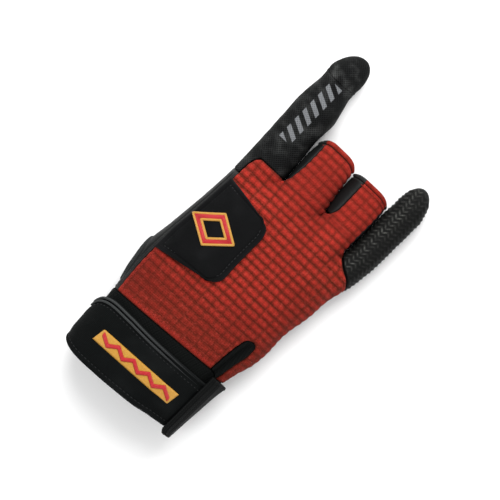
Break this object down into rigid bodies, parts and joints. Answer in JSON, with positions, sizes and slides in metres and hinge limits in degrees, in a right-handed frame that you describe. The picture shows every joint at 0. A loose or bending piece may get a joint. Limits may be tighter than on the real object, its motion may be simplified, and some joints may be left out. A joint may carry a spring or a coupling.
{
  "type": "bowling glove",
  "caption": "Right-hand bowling glove with closed index and little fingers, cut-off middle and ring fingers, a thumb hole, a padded knuckle patch and a wrist strap.",
  "frame": {"origin": "on the surface that the glove lies on, under the middle of its outline", "axes": "+X towards the little finger's side, +Y towards the fingertips, +Z from the palm to the back of the hand, which faces up"},
  "size_m": [0.1169, 0.235, 0.0387],
  "materials": {
    "knit": "ribbed stretch knit",
    "binding": "folded knit hem",
    "leather": "fine grained, matte",
    "patch": "padded brushed fabric",
    "mesh": "fine open knit",
    "neoprene": "smooth jersey-faced foam",
    "tab": "woven tape over hook fastener",
    "elastic": "woven elastic",
    "embroidery_red": "satin stitch",
    "embroidery_gold": "satin stitch"
  },
  "bodies": {
    "root": {"back_panel": "knit", "palm_panel": "leather", "thumb_binding": "elastic", "knuckle_patch": "patch", "index_finger": "mesh", "index_tip": "mesh", "little_finger": "mesh", "fourchette_index_middle": "leather", "fourchette_middle_ring": "leather", "fourchette_ring_little": "leather", "middle_hem": "binding", "ring_hem": "binding", "cuff": "elastic", "wrist_strap": "neoprene", "strap_welt": "neoprene", "closure_tab": "tab", "slit_gusset": "elastic", "patch_emblem": "embroidery_red", "strap_bar": "embroidery_gold", "strap_zigzag": "embroidery_red"}
  },
  "joints": []
}
